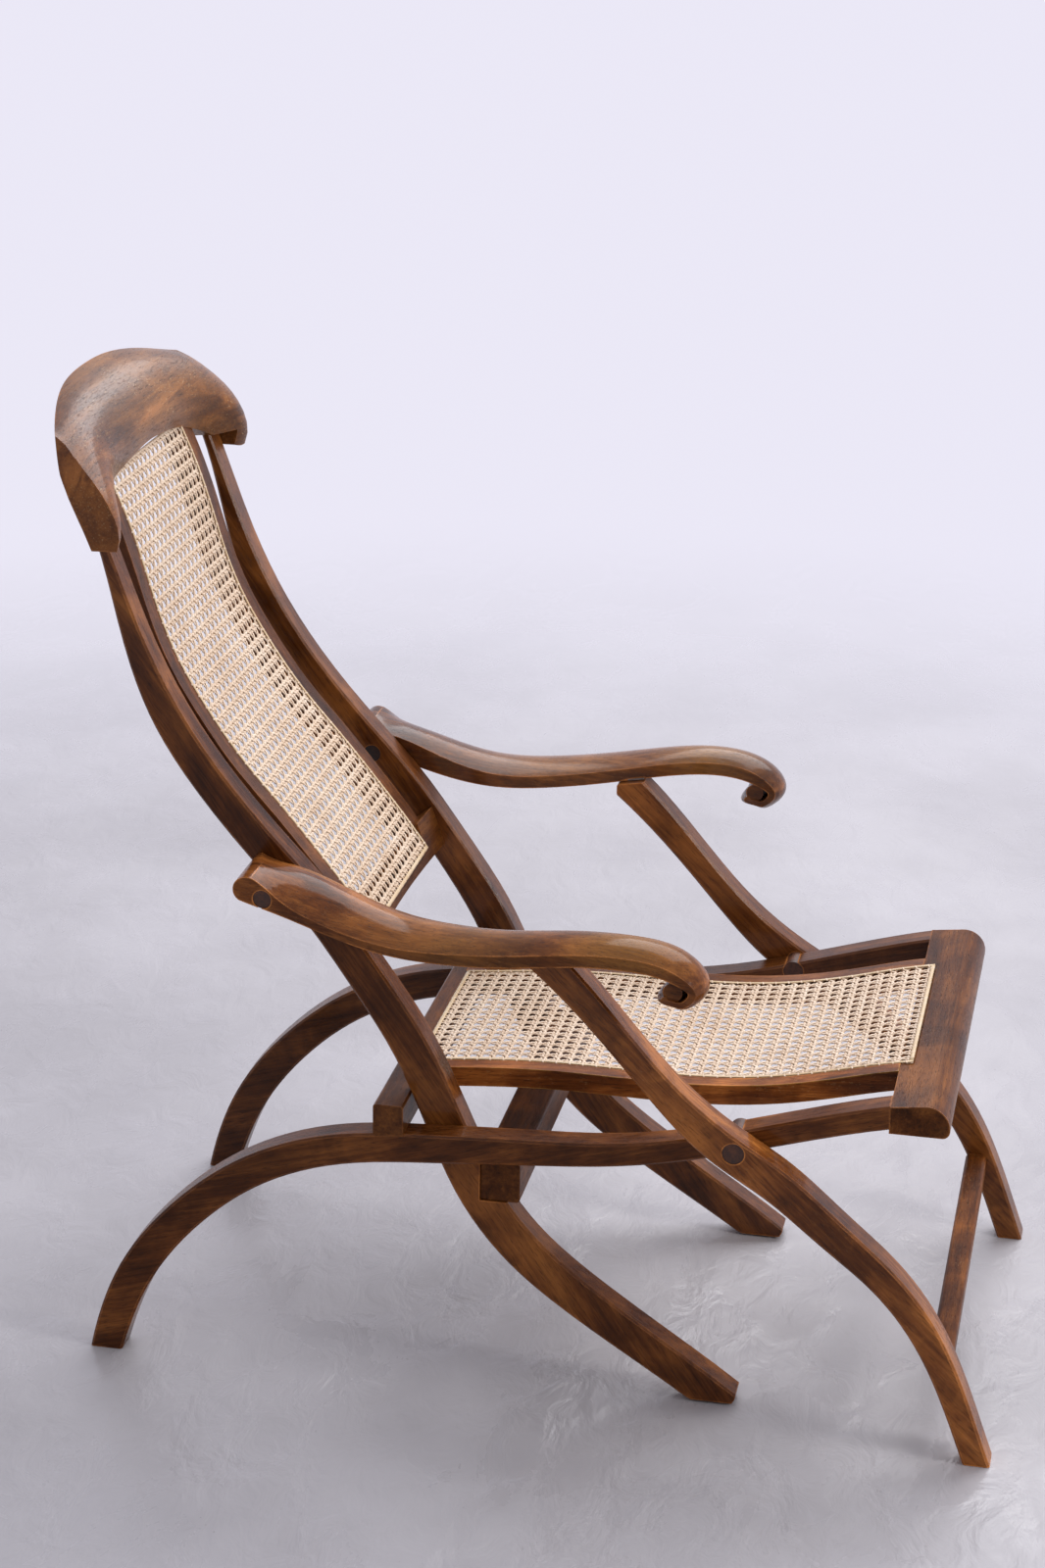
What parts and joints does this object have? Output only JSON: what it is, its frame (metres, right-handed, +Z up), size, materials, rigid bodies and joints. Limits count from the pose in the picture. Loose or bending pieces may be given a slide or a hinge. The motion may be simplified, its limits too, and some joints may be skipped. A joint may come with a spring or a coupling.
{
  "type": "steamer deck chair",
  "caption": "Folding steamer deck chair in dark bent hardwood with scrolled arms, a hooded crest rail and woven cane seat and back.",
  "frame": {"origin": "centre of the chair's footprint box on the floor, at rest", "axes": "+Z up, the front of the chair faces -Y, +X is the sitter's left"},
  "size_m": [0.6262, 1.002, 0.994],
  "materials": {
    "mahogany": "satin french polish, worn",
    "pin_wood": "satin",
    "dowel_wood": "raw",
    "woven_cane": "semi gloss",
    "binding_cane": "semi gloss",
    "hinge_steel": "dull"
  },
  "bodies": {
    "seat_frame": {"seat_side_rail_left": "mahogany", "seat_side_rail_right": "mahogany", "seat_front_rail": "mahogany", "seat_rear_crossbar": "mahogany", "seat_inner_rail_left": "mahogany", "seat_inner_rail_right": "mahogany", "seat_cane": "woven_cane", "seat_cane_binding": "binding_cane", "seat_front_dowels": "dowel_wood", "crossbar_dowels": "dowel_wood", "back_pivot_pins": "dowel_wood", "leg_pivot_pins": "pin_wood"},
    "back": {"back_stile_left": "mahogany", "back_stile_right": "mahogany", "crest_rail": "mahogany", "back_lower_rail": "mahogany", "back_inner_rail_left": "mahogany", "back_inner_rail_right": "mahogany", "back_cane": "woven_cane", "back_cane_binding": "binding_cane", "back_stretcher": "mahogany", "stile_pin_ends": "pin_wood"},
    "left_arm": {"arm_left": "mahogany", "arm_pivot_pin_left": "pin_wood", "arm_hinge_eye_left": "hinge_steel"},
    "right_arm": {"arm_right": "mahogany", "arm_pivot_pin_right": "pin_wood", "arm_hinge_eye_right": "hinge_steel"},
    "front_legs": {"front_leg_left": "mahogany", "front_leg_right": "mahogany", "front_stretcher": "mahogany", "arm_hinge_pins": "hinge_steel"}
  },
  "joints": [
    {"name": "back_fold", "type": "hinge", "parent": "seat_frame", "child": "back", "pos_m": [0, 0.0711, 0.274], "axis": [1, 0, 0], "range_deg": [0, 65]},
    {"name": "leg_fold", "type": "hinge", "parent": "seat_frame", "child": "front_legs", "pos_m": [0, -0.2329, 0.313], "axis": [1, 0, 0], "range_deg": [0, 77.8]},
    {"name": "left_arm_swing", "type": "hinge", "parent": "front_legs", "child": "left_arm", "pos_m": [0.251, -0.0289, 0.499], "axis": [1, 0, 0], "range_deg": [-91.4, 0]},
    {"name": "right_arm_swing", "type": "hinge", "parent": "front_legs", "child": "right_arm", "pos_m": [-0.251, -0.0289, 0.499], "axis": [1, 0, 0], "range_deg": [-91.4, 0]}
  ],
  "couplings": [
    {"joint": "leg_fold", "follows": "back_fold", "ratio": 1.195},
    {"joint": "left_arm_swing", "follows": "back_fold", "ratio": -1.405},
    {"joint": "right_arm_swing", "follows": "back_fold", "ratio": -1.405}
  ]
}
